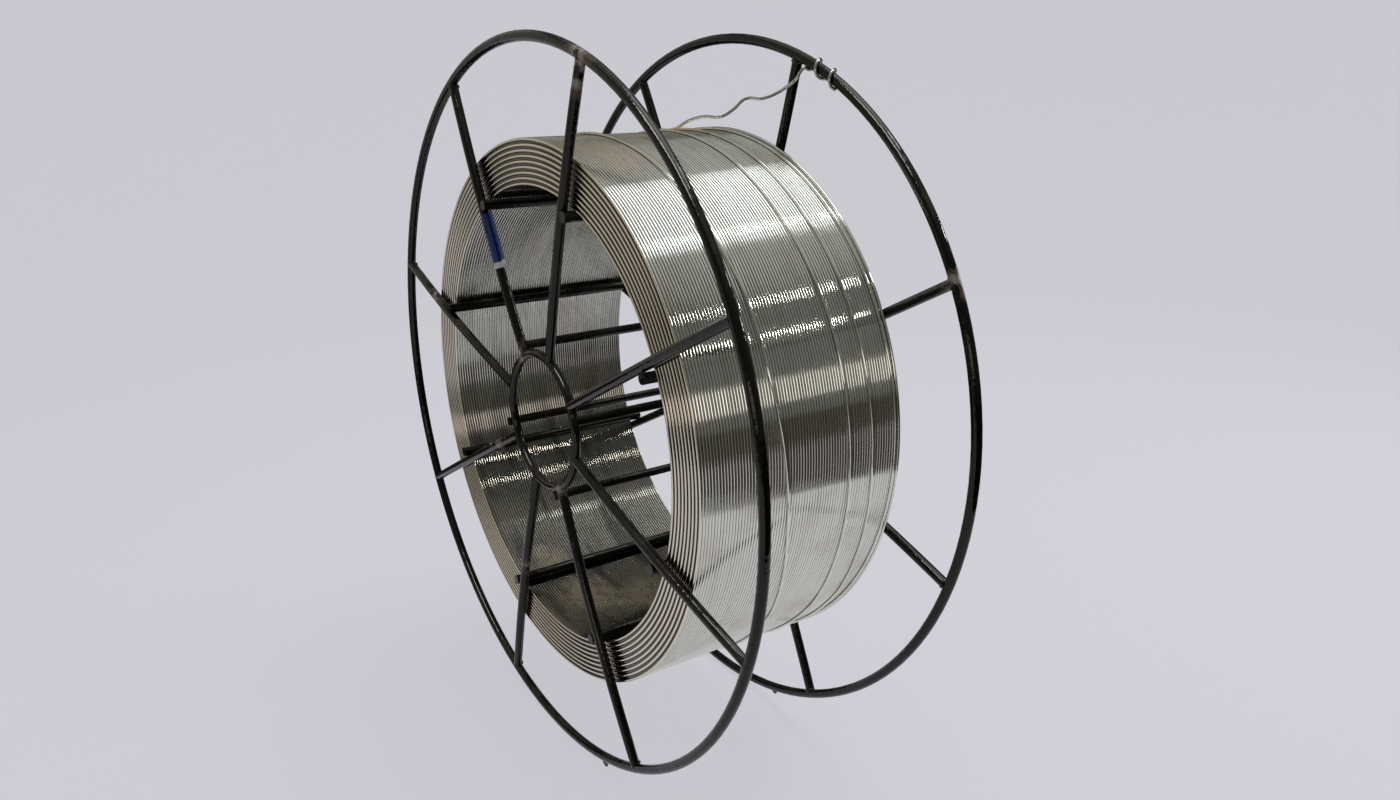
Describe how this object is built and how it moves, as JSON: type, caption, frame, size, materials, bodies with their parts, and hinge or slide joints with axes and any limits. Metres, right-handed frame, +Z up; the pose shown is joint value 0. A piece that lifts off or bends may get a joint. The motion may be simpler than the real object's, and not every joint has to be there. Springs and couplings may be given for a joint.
{
  "type": "wire basket spool of welding wire",
  "caption": "Basket spool of welding wire: black rod frame with two spoked rims, hub rings and drum bars, holding a layer-wound coil of bright steel wire with its end tied to a rim.",
  "frame": {"origin": "on the floor, under the spool's axis, halfway between the two flanges", "axes": "+Z up, +Y along the spool's axis from the front flange to the back flange, where the wire's end is tied"},
  "size_m": [0.3, 0.1006, 0.3],
  "materials": {
    "frame_paint": "gloss black, dipped",
    "bright_wire": "bright drawn"
  },
  "bodies": {
    "root": {"rim_front": "frame_paint", "rim_back": "frame_paint", "hub_ring_front": "frame_paint", "hub_ring_back": "frame_paint", "spoke_front_1": "frame_paint", "spoke_front_2": "frame_paint", "spoke_front_3": "frame_paint", "spoke_front_4": "frame_paint", "spoke_front_5": "frame_paint", "spoke_front_6": "frame_paint", "spoke_front_7": "frame_paint", "spoke_front_8": "frame_paint", "spoke_back_1": "frame_paint", "spoke_back_2": "frame_paint", "spoke_back_3": "frame_paint", "spoke_back_4": "frame_paint", "spoke_back_5": "frame_paint", "spoke_back_6": "frame_paint", "spoke_back_7": "frame_paint", "spoke_back_8": "frame_paint", "drum_bar_1": "frame_paint", "drum_bar_2": "frame_paint", "drum_bar_3": "frame_paint", "drum_bar_4": "frame_paint", "drum_bar_5": "frame_paint", "drum_bar_6": "frame_paint", "drum_bar_7": "frame_paint", "drum_bar_8": "frame_paint", "hub_bar_1": "frame_paint", "hub_bar_2": "frame_paint", "hub_bar_3": "frame_paint", "hub_bar_4": "frame_paint", "wire_coil": "bright_wire", "wire_tail": "bright_wire"}
  },
  "joints": []
}
